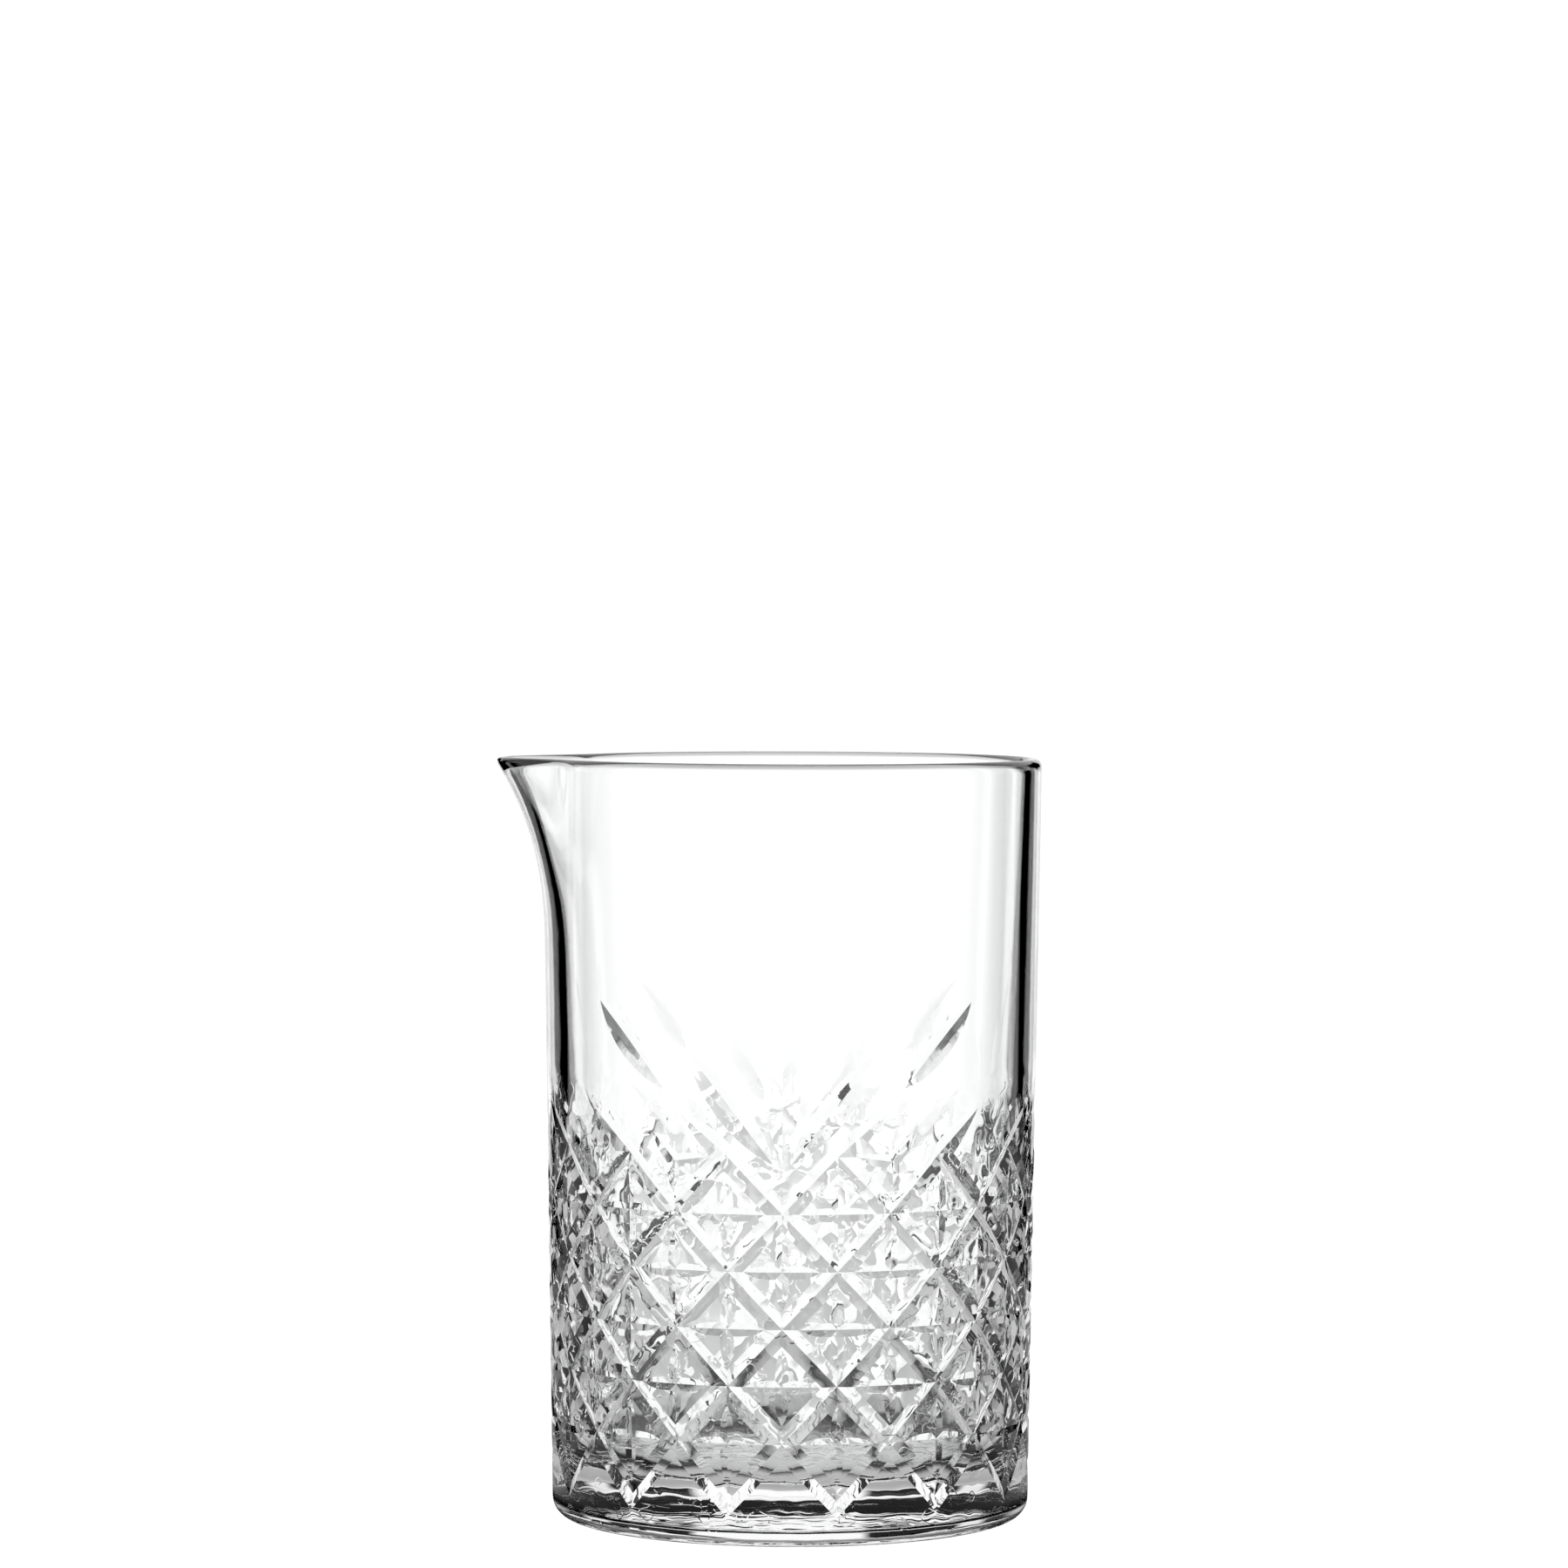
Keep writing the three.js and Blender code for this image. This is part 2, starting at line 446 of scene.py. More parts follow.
@dataclass(frozen=True)
class FanPattern:
    """The cuts over the diamonds, for the right half of one fan.

    Places are in half diamonds to the right and millimetres up, and depths in millimetres.
    """

    diamonds: DiamondPattern
    groove_tip: Place = (0.9, 8.3)
    middle: tuple[Place, Place] = ((0.0, 73.6), (0.0, 107.5))
    middle_depth: float = 0.97
    side: tuple[Place, Place] = ((0.15, 73.6), (1.74, 95.0))
    side_depth: float = 0.78
    outer: tuple[Place, Place] = ((2.2, 87.7), (3.68, 104.0))
    outer_depth: float = 0.7
    star_centre: Place = (2.0, 74.0)
    star_tips: tuple[Place, ...] = ((1.35, 75.0), (2.43, 79.3), (2.03, 68.4))
    side_hollow: float = 0.2
    outer_hollow: float = 0.45
    mitre_start: float = 73.9
    mitre_step: float = 1.3
    mitre_marks: int = 12
    mitre_halvings: int = 24

    def place(self, spot: Place, side: float = 1.0) -> Place:
        """A place given in half diamonds and height, on the sheet."""
        return side * spot[0] * self.diamonds.sizes.column, spot[1]

    def leaves(self) -> list[VCut]:
        """The leaf cuts.

        Returns:
            The middle leaf, the side leaf, its mirror image, which reaches over the middle, and
            the outer leaf.
        """
        slope = self.diamonds.wheel_slope
        rows = [
            (self.middle, self.middle_depth, 1.0, 0.0),
            (self.side, self.side_depth, 1.0, self.side_hollow),
            (self.side, self.side_depth, -1.0, self.side_hollow),
            (self.outer, self.outer_depth, 1.0, self.outer_hollow),
        ]
        leaves = []
        for ends, depth, side, hollow in rows:
            low, high = (self.place(spot, side) for spot in ends)
            leaves.append(VCut.straight(low, high, depth, slope, CutForm.LEAF, hollow))
        return leaves

    def star(self) -> list[VCut]:
        """The star beside the fan.

        Returns:
            Its three arms.
        """
        centre = self.place(self.star_centre)
        slope, depth = self.diamonds.wheel_slope, self.diamonds.star_depth
        return [VCut.straight(centre, self.place(tip), depth, slope, CutForm.ARM) for tip in self.star_tips]

    def star_mitres(self) -> Iterator[tuple[Place, Place]]:
        """Scores between neighbouring arms of the star.

        Yields:
            The two ends of each score.
        """
        centre = Vector(self.place(self.star_centre))
        arms = sorted(
            (Vector(self.place(tip)) - centre for tip in self.star_tips), key=lambda v: math.atan2(v.y, v.x)
        )
        wide = self.diamonds.star_depth / self.diamonds.wheel_slope
        for k, arm in enumerate(arms):
            first, second = arm.normalized(), arms[(k + 1) % len(arms)].normalized()
            middle = (first + second).normalized()
            if first.x * second.y - first.y * second.x < 0.0:
                middle = -middle
            reach = wide / abs(first.x * middle.y - first.y * middle.x)
            yield tuple(centre), tuple(centre + middle * reach)

    def leaf_mitres(self) -> Iterator[tuple[Place, Place]]:
        """Scores where the middle leaf and its neighbour are equally deep.

        Yields:
            The two ends of each score.
        """
        middle, side = self.leaves()[:2]
        run, climb = side.end[0] - side.start[0], side.end[1] - side.start[1]
        spots = []
        for k in range(self.mitre_marks):
            y = self.mitre_start + self.mitre_step * k
            low, high = 0.0, side.start[0] + run * (y - side.start[1]) / climb
            if middle.depth_at(high, y) >= side.depth_at(high, y):
                continue
            for _ in range(self.mitre_halvings):
                half = (low + high) / 2.0
                if middle.depth_at(half, y) > side.depth_at(half, y):
                    low = half
                else:
                    high = half
            if middle.depth_at(low, y) > 0.0:
                spots.append((low, y))
        yield from zip(spots[:-1], spots[1:])

    def grooves(self) -> list[VCut]:
        """Grooves that reach the top row or the first one, with their ends past it.

        Returns:
            The grooves of a quarter of the glass.
        """
        d, s = self.diamonds, self.diamonds.sizes
        cuts = []
        for k in range(1, s.quarter + 1, 2):
            node = (k * s.column, s.top_row)
            cuts.append(d.groove((node[0] - s.column, s.top_row - s.row_pitch), node))
            cuts.append(d.groove(node, (node[0] + s.column, s.top_row - s.row_pitch)))
            if k < s.quarter:
                tip = (node[0] + self.groove_tip[0] * s.column, s.top_row + self.groove_tip[1])
                cuts.append(d.groove(node, tip, CutForm.TIP))
            foot = (k * s.column, s.first_row)
            cuts.append(d.groove(foot, (foot[0] + s.column, s.first_row + s.row_pitch)))
            cuts.append(d.groove((foot[0] - s.column, s.first_row + s.row_pitch), foot))
        return cuts


@dataclass(frozen=True)
class Spout:
    """The spout, drawn out of the wall towards -X, in millimetres and radians."""

    sizes: GlassSizes
    reach: float = 9.8
    start: float = 112.0
    half_angle: float = 0.5
    curve: float = 2.5

    def draw(self, bm: bmesh.types.BMesh) -> None:
        """Moves the points of the wall and rim near -X outwards.

        Args:
            bm: the whole glass, in metres.
        """
        for v in bm.verts:
            x, y, z = v.co / MM
            angle = abs(math.atan2(y, -x))
            if z > self.start and angle < self.half_angle:
                rise = ((z - self.start) / (self.sizes.height - self.start)) ** self.curve
                spread = math.cos(angle / self.half_angle * math.pi / 2.0) ** 2
                scale = 1.0 + self.reach * rise * spread / math.hypot(x, y)
                v.co = Vector((x * scale, y * scale, z)) * MM


@dataclass
class GlassBody:
    """The whole glass: pressed outside, rim, spout, inside, floor and underside.

    Levels, rings and distances are in millimetres and the sharp angle is in degrees.
    """

    sizes: GlassSizes = field(default_factory=GlassSizes)
    spout_levels: tuple[float, ...] = (
        112.0, 115.0, 118.0, 121.0, 124.0, 127.0, 130.0, 132.5,
        135.0, 137.5, 140.0, 142.0, 144.0, 145.8, 147.2
    )
    fan_levels: tuple[float, ...] = (80.0, 86.0, 92.0, 98.0, 104.0, 110.0)
    wall_levels: tuple[float, ...] = (95.0, 75.0, 55.0, 40.0, 28.0)
    floor_rings: tuple[float, ...] = (24.0, 12.0, 4.0, 0.0)
    foot_rings: tuple[float, ...] = (30.0, 16.0, 5.0, 0.0)
    lip_steps: int = 12
    fillet_steps: int = 12
    heel_steps: int = 10
    seam: float = 0.004
    sharp_angle: float = 8.0
    sharp_heights: tuple[float, float] = (4.0, 110.0)
    skin_margin: float = 0.6

    def build(self) -> bpy.types.Object:
        """Builds the closed glass and links it to the scene.

        Returns:
            The finished object, in metres in the frame's axes.
        """
        pattern = FanPattern(DiamondPattern(self.sizes))
        bm = self._wrap(self._quarter(pattern))
        self._spin(bm, self._inside_profile())
        self._spin(bm, self._foot_profile())
        bmesh.ops.remove_doubles(bm, verts=bm.verts, dist=self.seam * MM)
        Spout(self.sizes).draw(bm)
        bmesh.ops.recalc_face_normals(bm, faces=bm.faces)
        open_edges = sum(1 for e in bm.edges if len(e.link_faces) != 2)
        LOG.info("glass_body: %d faces, %d open edges", len(bm.faces), open_edges)
        self._shade(bm)
        mesh = bpy.data.meshes.new("clear_glass_body")
        bm.to_mesh(mesh)
        bm.free()
        body = bpy.data.objects.new("clear_glass_body", mesh)
        bpy.context.scene.collection.objects.link(body)
        return body

    def _shade(self, bm: bmesh.types.BMesh) -> None:
        """Shades the glass smooth, with sharp edges among the cuts.

        Args:
            bm: the whole glass, in metres.
        """
        lowest, highest = self.sharp_heights
        skin = self.sizes.mouth_radius - self.skin_margin
        for f in bm.faces:
            f.smooth = True
        for e in bm.edges:
            high = max(v.co.z for v in e.verts) / MM
            radius = min(math.hypot(v.co.x, v.co.y) for v in e.verts) / MM
            if lowest < high < highest and radius > skin and e.is_manifold:
                e.smooth = e.calc_face_angle() < math.radians(self.sharp_angle)

    def _quarter(self, fan: FanPattern) -> Sheet:
        """The pressed outside between two mirror planes, on the flat.

        Args:
            fan: the cuts above the diamonds, and the diamonds with them.

        Returns:
            A quarter of the outside, from the heel to the rim.
        """
        s = self.sizes
        sheet = Sheet()
        middle, last = 1, s.rows - 1
        tiles = {row: fan.diamonds.tile(row > 0, row < last) for row in (0, middle, last)}
        mirror = Matrix.Translation((s.column, 0.0, 0.0)) @ Matrix.Diagonal((-1.0, 1.0, 1.0, 1.0))
        for row in range(s.rows):
            for column in range(s.quarter):
                move = Matrix.Translation((column * s.column, s.first_row + row * s.row_pitch, 0.0))
                if (row + column) % 2 == 0:
                    move = move @ mirror
                sheet.add_copy(tiles.get(row, tiles[middle]), move)
        wide, across = s.quarter * s.column, s.quarter * s.splits
        sheet.lay(0.0, wide, s.heel, s.first_row, across)
        sheet.lay(0.0, wide, s.top_row, s.height - s.lip, across, self.fan_levels + self.spout_levels)
        sheet.weld()
        extra = [*fan.leaves(), *fan.star(), *fan.grooves()]
        for cut in extra:
            for a, b in cut.creases():
                if self._inside_quarter(a, b):
                    sheet.score(a, b)
        for a, b in [*fan.star_mitres(), *fan.leaf_mitres()]:
            sheet.score(a, b)
        sheet.press(lambda x, y: max(cut.depth_at(x, y) for cut in extra))
        return sheet

    def _inside_quarter(self, a: Place, b: Place) -> bool:
        """Whether a score reaches into the quarter sheet."""
        return max(a[0], b[0]) > TOUCH and min(a[0], b[0]) < self.sizes.quarter * self.sizes.column - TOUCH

    def _wrap(self, quarter: Sheet) -> bmesh.types.BMesh:
        """Mirrors the quarter sheet to the whole outside and rolls it round the axis.

        Args:
            quarter: the pressed quarter, on the flat in millimetres.

        Returns:
            The outside from the heel to the rim, in metres.
        """
        s = self.sizes
        whole = Sheet()
        for shift in (0.0, 2 * s.quarter * s.column):
            move = Matrix.Translation((shift, 0.0, 0.0))
            whole.add_copy(quarter, move)
            whole.add_copy(quarter, move @ Matrix.Diagonal((-1.0, 1.0, 1.0, 1.0)))
        whole.weld()
        for v in whole.bm.verts:
            angle = v.co.x / s.column * 2.0 * math.pi / s.half_columns
            radius = s.outside(v.co.y) + v.co.z
            v.co = Vector((radius * math.sin(angle), -radius * math.cos(angle), v.co.y)) * MM
        return whole.bm

    def _spin(self, bm: bmesh.types.BMesh, profile: Sequence[Place]) -> None:
        """Spins a profile once round the axis.

        Args:
            bm: the mesh to add it to, in metres.
            profile: places as (radius, height), in millimetres.
        """
        verts = [bm.verts.new(Vector((0.0, -r, z)) * MM) for r, z in profile]
        edges = [bm.edges.new(pair) for pair in zip(verts[:-1], verts[1:])]
        bmesh.ops.spin(
            bm,
            geom=[*verts, *edges],
            cent=(0.0, 0.0, 0.0),
            axis=(0.0, 0.0, 1.0),
            angle=2.0 * math.pi,
            steps=self.sizes.steps,
            use_merge=True,
        )

    def _arc(self, centre: Place, radius: float, start: float, end: float, steps: int) -> list[Place]:
        """Places along an arc whose start and end are in degrees."""
        turns = [math.radians(start + (end - start) * k / steps) for k in range(steps + 1)]
        return [(centre[0] + radius * math.cos(a), centre[1] + radius * math.sin(a)) for a in turns]

    def _inside_profile(self) -> list[Place]:
        """From the outside of the lip over it, down the inside and across the floor.

        Returns:
            Places as (radius, height).
        """
        s = self.sizes
        centre = (s.outside(s.height - s.lip) - s.lip, s.height - s.lip)
        lip = self._arc(centre, s.lip, 0.0, 180.0, self.lip_steps)
        wall = [(s.inside(z), z) for z in (*reversed(self.spout_levels), *self.wall_levels)]
        corner = (s.floor_radius - s.floor_fillet, s.floor + s.floor_fillet)
        fillet = self._arc(corner, s.floor_fillet, 0.0, -90.0, self.fillet_steps)
        floor = [(r, s.floor) for r in self.floor_rings]
        return [*lip, *wall, *fillet, *floor]

    def _foot_profile(self) -> list[Place]:
        """From the bottom of the wall round the heel to the centre of the underside.

        Returns:
            Places as (radius, height).
        """
        s = self.sizes
        heel = self._arc((s.outside(s.heel) - s.heel, s.heel), s.heel, 0.0, -90.0, self.heel_steps)
        return [*heel, *[(r, 0.0) for r in self.foot_rings]]


@dataclass(frozen=True)
class ClearGlass:
    """Clear soda-lime glass with the ripple and the small spots of a press mould.

    Scales are in waves or spots to the metre, and heights, levels and radii in metres. The
    ripple and spots fade to the plain share over cut_top, going up, and to the outer share
    over cut_skin, going out from the inner wall.
    """

    tint: tuple[float, float, float] = (0.985, 0.99, 0.988)
    ior: float = 1.52
    roughness: float = 0.0
    wave_scale: float = 170.0
    wave_height: float = 0.0003
    spot_scale: float = 260.0
    spot_edge: tuple[float, float] = (0.62, 0.66)
    spot_height: float = 0.00003
    cut_top: tuple[float, float] = (0.078, 0.092)
    plain_share: float = 0.03
    cut_skin: tuple[float, float] = (0.0448, 0.0458)
    outer_share: float = 0.3

    def material(self) -> bpy.types.Material:
        """Builds the node material.

        Returns:
            The material.
        """
        mat = bpy.data.materials.new("clear_pressed_glass")
        mat.use_nodes = True
        nodes, links = mat.node_tree.nodes, mat.node_tree.links
        shader = nodes["Principled BSDF"]
        shader.inputs["Base Color"].default_value = (*self.tint, 1.0)
        shader.inputs["Roughness"].default_value = self.roughness
        shader.inputs["IOR"].default_value = self.ior
        shader.inputs["Transmission Weight"].default_value = 1.0
        skin = nodes.new("ShaderNodeGroup")
        skin.node_tree = self._pressed_skin()
        links.new(skin.outputs["Normal"], shader.inputs["Normal"])
        return mat

    def _pressed_skin(self) -> bpy.types.NodeTree:
        """Normals of a pressed surface: a slow wave with small raised spots on it.

        Returns:
            A node group whose output is the normal.
        """
        tree = bpy.data.node_groups.new("pressed_skin", "ShaderNodeTree")
        tree.interface.new_socket("Normal", in_out="OUTPUT", socket_type="NodeSocketVector")
        nodes, links = tree.nodes, tree.links
        end = nodes.new("NodeGroupOutput")
        coords = nodes.new("ShaderNodeTexCoord")
        split = nodes.new("ShaderNodeSeparateXYZ")
        links.new(coords.outputs["Object"], split.inputs["Vector"])
        wave = nodes.new("ShaderNodeTexNoise")
        spots = nodes.new("ShaderNodeTexNoise")
        for noise, scale in ((wave, self.wave_scale), (spots, self.spot_scale)):
            noise.inputs["Scale"].default_value = scale
            noise.inputs["Detail"].default_value = 1.0
            links.new(coords.outputs["Object"], noise.inputs["Vector"])
        radius = nodes.new("ShaderNodeVectorMath")
        radius.operation = "LENGTH"
        flat = nodes.new("ShaderNodeVectorMath")
        flat.operation = "MULTIPLY"
        flat.inputs[1].default_value = (1.0, 1.0, 0.0)
        links.new(coords.outputs["Object"], flat.inputs[0])
        links.new(flat.outputs["Vector"], radius.inputs[0])
        spot = smooth_step(nodes, spots.outputs["Fac"], self.spot_edge, (0.0, self.spot_height))
        low = smooth_step(nodes, split.outputs["Z"], self.cut_top, (1.0, self.plain_share))
        inner = smooth_step(nodes, radius.outputs["Value"], self.cut_skin, (1.0, self.outer_share))
        swell = nodes.new("ShaderNodeMath")
        swell.operation = "MULTIPLY_ADD"
        swell.inputs[1].default_value = self.wave_height
        links.new(wave.outputs["Fac"], swell.inputs[0])
        links.new(spot, swell.inputs[2])
        share = nodes.new("ShaderNodeMath")
        share.operation = "MULTIPLY"
        links.new(low, share.inputs[0])
        links.new(inner, share.inputs[1])
        fade = nodes.new("ShaderNodeMath")
        fade.operation = "MULTIPLY"
        links.new(swell.outputs["Value"], fade.inputs[0])
        links.new(share.outputs["Value"], fade.inputs[1])
        bump = nodes.new("ShaderNodeBump")
        bump.inputs["Strength"].default_value = 1.0
        bump.inputs["Distance"].default_value = 1.0
        links.new(fade.outputs["Value"], bump.inputs["Height"])
        links.new(bump.outputs["Normal"], end.inputs["Normal"])
        return tree


@dataclass(frozen=True)
class Studio:
    """Pale floor, white surroundings with dark flags, and the camera.

    Lengths are in metres, angles in degrees and greys from 0 to 1.05. The painted shadow of the
    glass on the near floor is given as grey at a distance from the axis. The flags, the sky above
    them and the boxes beside the viewer are given as grey at an angle to either side of straight
    behind the glass, and each reaches up to its own top.
    """

    distance: float = 1.2244
    eye_height: float = 0.1828
    azimuth: float = 1.96
    pan: float = 0.075
    tilt: float = 1.779
    roll: float = 0.163
    lens: float = 142.27
    sensor: float = 36.0
    clip: tuple[float, float] = (0.01, 100.0)
    floor_half: float = 60.0
    floor_gap: float = 0.0002
    # Painted shadow of the glass on the floor: grey by distance from the axis, darkest in a ring just outside
    # the heel
    painted_floor_shade: tuple[Place, ...] = (
        (0.0, 0.5), (0.039, 0.45), (0.044, 0.01), (0.059, 0.01), (0.069, 0.3), (0.1, 0.46),
        (0.175, 0.58), (0.26, 0.64), (0.33, 0.74), (0.42, 0.92), (0.6, 1.05)
    )
    floor_reach: float = 0.75
    flags_from: float = 0.2
    flags_full: float = 0.42
    floor_squeeze: tuple[float, float] = (0.5, 0.66)
    squeeze_over: tuple[float, float] = (-0.05, 0.05)
    around: tuple[Place, ...] = (
        (0.0, 1.05), (13.5, 1.05), (15.5, 0.0), (34.5, 0.0), (37.0, 0.9), (43.0, 0.9), (47.0, 0.0)
    )
    flag_top: tuple[float, float] = (13.0, 16.0)
    sky: tuple[Place, ...] = ((0.0, 1.05), (50.0, 1.05), (60.0, 0.0))
    sky_top: tuple[float, float] = (78.0, 88.0)
    boxes: tuple[Place, ...] = ((0.0, 0.0), (55.0, 0.0), (70.0, 0.85), (180.0, 0.85))
    box_top: tuple[float, float] = (35.0, 50.0)

    def camera(self) -> None:
        """Places the camera and makes it the scene's."""
        data = bpy.data.cameras.new("camera")
        data.lens = self.lens
        data.sensor_width = self.sensor
        data.clip_start, data.clip_end = self.clip
        camera = bpy.data.objects.new("camera", data)
        bpy.context.scene.collection.objects.link(camera)
        side = math.radians(self.azimuth)
        place = Matrix.Translation(
            (self.distance * math.sin(side), -self.distance * math.cos(side), self.eye_height)
        )
        yaw = Matrix.Rotation(side + math.radians(self.pan), 4, "Z")
        pitch = Matrix.Rotation(math.radians(90.0 - self.tilt), 4, "X")
        camera.matrix_world = place @ yaw @ pitch @ Matrix.Rotation(math.radians(self.roll), 4, "Z")
        bpy.context.scene.camera = camera

    def floor(self) -> None:
        """A wide pale floor under the glass."""
        bm = bmesh.new()
        bmesh.ops.create_grid(bm, x_segments=1, y_segments=1, size=self.floor_half)
        mesh = bpy.data.meshes.new("floor")
        bm.to_mesh(mesh)
        bm.free()
        floor = bpy.data.objects.new("floor", mesh)
        floor.location = (0.0, 0.0, -self.floor_gap)
        bpy.context.scene.collection.objects.link(floor)
        mesh.materials.append(self._floor_material())

    def _floor_material(self) -> bpy.types.Material:
        """White floor that glows; through the glass it shows painted shade, the glass's shadow and the
        flags'.

        Returns:
            The material. The flags' painted shade is squeezed sideways, by one factor on the left
            and another on the right, and comes in between flags_from and flags_full.
        """
        mat = bpy.data.materials.new("pale_floor")
        mat.use_nodes = True
        nodes, links = mat.node_tree.nodes, mat.node_tree.links
        nodes.clear()
        coords = nodes.new("ShaderNodeTexCoord")
        around = nodes.new("ShaderNodeGroup")
        around.node_tree = self._lit_room()
        length = nodes.new("ShaderNodeVectorMath")
        length.operation = "LENGTH"
        # Painted shadow of the glass on the floor, by distance from the axis
        near = grey_ramp(nodes, self.painted_floor_shade, self.floor_reach)
        far = nodes.new("ShaderNodeMath")
        far.operation = "DIVIDE"
        far.inputs[1].default_value = self.floor_reach
        beyond = nodes.new("ShaderNodeMapRange")
        beyond.inputs["From Min"].default_value = self.flags_from
        beyond.inputs["From Max"].default_value = self.flags_full
        shade = nodes.new("ShaderNodeMix")
        shade.data_type = "RGBA"
        shade.blend_type = "MULTIPLY"
        out = nodes.new("ShaderNodeOutputMaterial")
        glow = nodes.new("ShaderNodeEmission")
        links.new(coords.outputs["Object"], length.inputs[0])
        split = nodes.new("ShaderNodeSeparateXYZ")
        squeeze = nodes.new("ShaderNodeMath")
        squeeze.operation = "MULTIPLY"
        spot = nodes.new("ShaderNodeCombineXYZ")
        links.new(coords.outputs["Object"], split.inputs["Vector"])
        links.new(split.outputs["X"], squeeze.inputs[0])
        # Painted shade of the flags on the floor, squeezed sideways
        factor = smooth_step(nodes, split.outputs["X"], self.squeeze_over, self.floor_squeeze)
        links.new(factor, squeeze.inputs[1])
        links.new(squeeze.outputs["Value"], spot.inputs["X"])
        links.new(split.outputs["Y"], spot.inputs["Y"])
        links.new(spot.outputs["Vector"], around.inputs["Direction"])
        links.new(length.outputs["Value"], far.inputs[0])
        links.new(length.outputs["Value"], beyond.inputs["Value"])
        links.new(beyond.outputs["Result"], shade.inputs[0])
        links.new(far.outputs["Value"], near.inputs["Fac"])
        links.new(near.outputs["Color"], shade.inputs[6])
        links.new(around.outputs["Shade"], shade.inputs[7])
        # The floor glows instead of being lit: plain white to the camera, painted shade in the glass
        links.new(white_for_camera(nodes, shade.outputs[2]), glow.inputs["Color"])
        links.new(glow.outputs["Emission"], out.inputs["Surface"])
        return mat

    def surroundings(self) -> None:
        """White world for the camera; in the glass, white behind and darker at the sides."""
        world = bpy.data.worlds.new("studio")
        bpy.context.scene.world = world
        world.use_nodes = True
        nodes, links = world.node_tree.nodes, world.node_tree.links
        coords = nodes.new("ShaderNodeTexCoord")
        around = nodes.new("ShaderNodeGroup")
        around.node_tree = self._lit_room()
        links.new(coords.outputs["Generated"], around.inputs["Direction"])
        light = white_for_camera(nodes, around.outputs["Shade"])
        links.new(light, nodes["Background"].inputs["Color"])
        bpy.context.scene.view_settings.view_transform = "Standard"

    def _lit_room(self) -> bpy.types.NodeTree:
        """The grey of the room in a direction.

        Returns:
            A node group that the floor and the world share, built at its first use.
        """
        name = "lit_room"
        if name in bpy.data.node_groups:
            return bpy.data.node_groups[name]
        tree = bpy.data.node_groups.new(name, "ShaderNodeTree")
        tree.interface.new_socket("Direction", in_out="INPUT", socket_type="NodeSocketVector")
        tree.interface.new_socket("Shade", in_out="OUTPUT", socket_type="NodeSocketColor")
        nodes, links = tree.nodes, tree.links
        start = nodes.new("NodeGroupInput")
        end = nodes.new("NodeGroupOutput")
        split = nodes.new("ShaderNodeSeparateXYZ")
        links.new(start.outputs["Direction"], split.inputs["Vector"])
        x, y, z = (split.outputs[axis] for axis in "XYZ")
        turn = arithmetic(nodes, "ARCTAN2", arithmetic(nodes, "ABSOLUTE", x), y)
        squares = [arithmetic(nodes, "MULTIPLY", side, side) for side in (x, y)]
        level = arithmetic(nodes, "SQRT", arithmetic(nodes, "ADD", *squares))
        rise = arithmetic(nodes, "ARCTAN2", z, level)
        share = arithmetic(nodes, "DIVIDE", turn, math.pi)

        def below(span: tuple[float, float]) -> bpy.types.NodeSocket:
            """1 under a height, in degrees, and 0 above it."""
            return smooth_step(nodes, rise, [math.radians(angle) for angle in span], (1.0, 0.0))

        low = below(self.flag_top)
        sky = arithmetic(nodes, "SUBTRACT", below(self.sky_top), low)
        lights = []
        for marks, height in ((self.around, low), (self.sky, sky), (self.boxes, below(self.box_top))):
            ring = grey_ramp(nodes, marks, HALF_TURN)
            links.new(share, ring.inputs["Fac"])
            lights.append(arithmetic(nodes, "MULTIPLY", ring.outputs["Color"], height))
        flags, above, beside = lights
        brightest = arithmetic(nodes, "MAXIMUM", arithmetic(nodes, "MAXIMUM", flags, above), beside)
        links.new(brightest, end.inputs["Shade"])
        return tree


def arithmetic(
    nodes: bpy.types.Nodes, operation: str, *values: bpy.types.NodeSocket | float
) -> bpy.types.NodeSocket:
    """One step of arithmetic.

    Args:
        nodes: the node tree to add it to.
        operation: the name of the step.
        values: what it works on, in order.

    Returns:
        The socket that holds the result.
    """
    node = nodes.new("ShaderNodeMath")
    node.operation = operation
    for socket, value in zip(node.inputs, values):
        if isinstance(value, float):
            socket.default_value = value
        else:
            nodes.id_data.links.new(value, socket)
    return node.outputs["Value"]


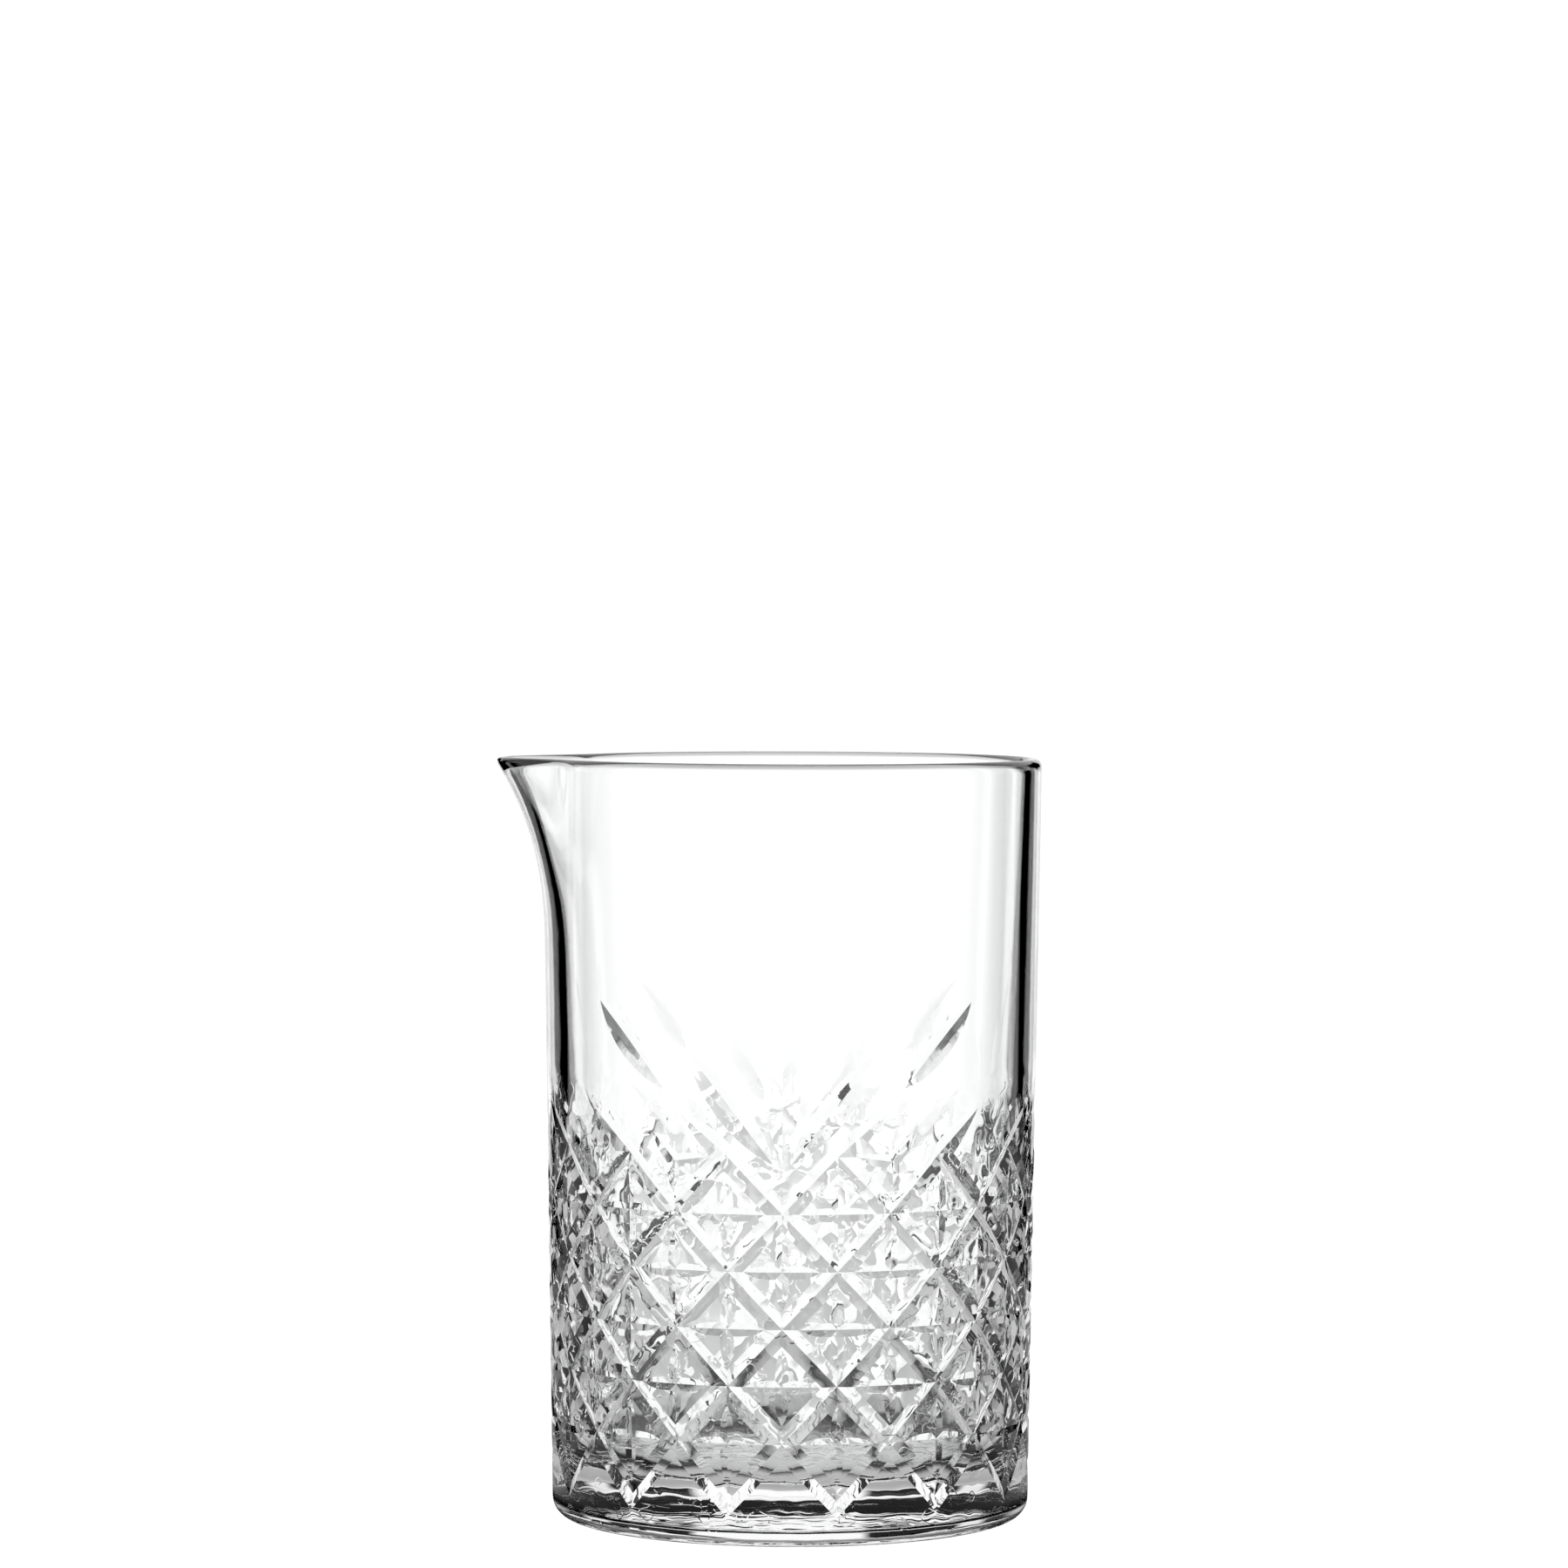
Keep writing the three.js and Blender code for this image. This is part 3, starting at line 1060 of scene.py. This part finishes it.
def grey_ramp(nodes: bpy.types.Nodes, marks: Sequence[Place], span: float) -> bpy.types.Node:
    """A ramp of greys.

    Args:
        nodes: the node tree to add it to.
        marks: (place, grey) pairs in rising order.
        span: the place that stands for the ramp's end.

    Returns:
        The ramp node.
    """
    ramp = nodes.new("ShaderNodeValToRGB")
    elements = ramp.color_ramp.elements
    while len(elements) < len(marks):
        elements.new(1.0)
    for element, (place, grey) in zip(elements, marks):
        element.position = place / span
        element.color = (grey, grey, grey, 1.0)
    return ramp


def smooth_step(
    nodes: bpy.types.Nodes, value: bpy.types.NodeSocket, span: Sequence[float], ends: Sequence[float]
) -> bpy.types.NodeSocket:
    """A smooth step from one end value to the other.

    Args:
        nodes: the node tree to add it to.
        value: what the step follows.
        span: where the step starts and where it is done.
        ends: the results before it and after it.

    Returns:
        The socket that holds the result.
    """
    step = nodes.new("ShaderNodeMapRange")
    step.interpolation_type = "SMOOTHSTEP"
    step.inputs["From Min"].default_value, step.inputs["From Max"].default_value = span
    step.inputs["To Min"].default_value, step.inputs["To Max"].default_value = ends
    nodes.id_data.links.new(value, step.inputs["Value"])
    return step.outputs["Result"]


def white_for_camera(nodes: bpy.types.Nodes, shade: bpy.types.NodeSocket) -> bpy.types.NodeSocket:
    """Plain white where it is seen directly, and a shade where it is seen through the glass.

    Args:
        nodes: the node tree to add it to.
        shade: the shade for the glass.

    Returns:
        The socket that holds the colour.
    """
    links = nodes.id_data.links
    path = nodes.new("ShaderNodeLightPath")
    mix = nodes.new("ShaderNodeMix")
    mix.data_type = "RGBA"
    mix.inputs[7].default_value = (WHITE, WHITE, WHITE, 1.0)
    links.new(path.outputs["Is Camera Ray"], mix.inputs[0])
    links.new(shade, mix.inputs[6])
    return mix.outputs[2]


def main() -> None:
    """Builds the glass and the studio."""
    logging.basicConfig(level=logging.INFO, format="%(name)s: %(message)s")
    glass = GlassBody().build()
    glass.data.materials.append(ClearGlass().material())
    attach(glass, "root")
    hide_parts("glass_body")
    studio = Studio()
    studio.camera()
    studio.floor()
    studio.surroundings()


if __name__ == "__main__":
    main()
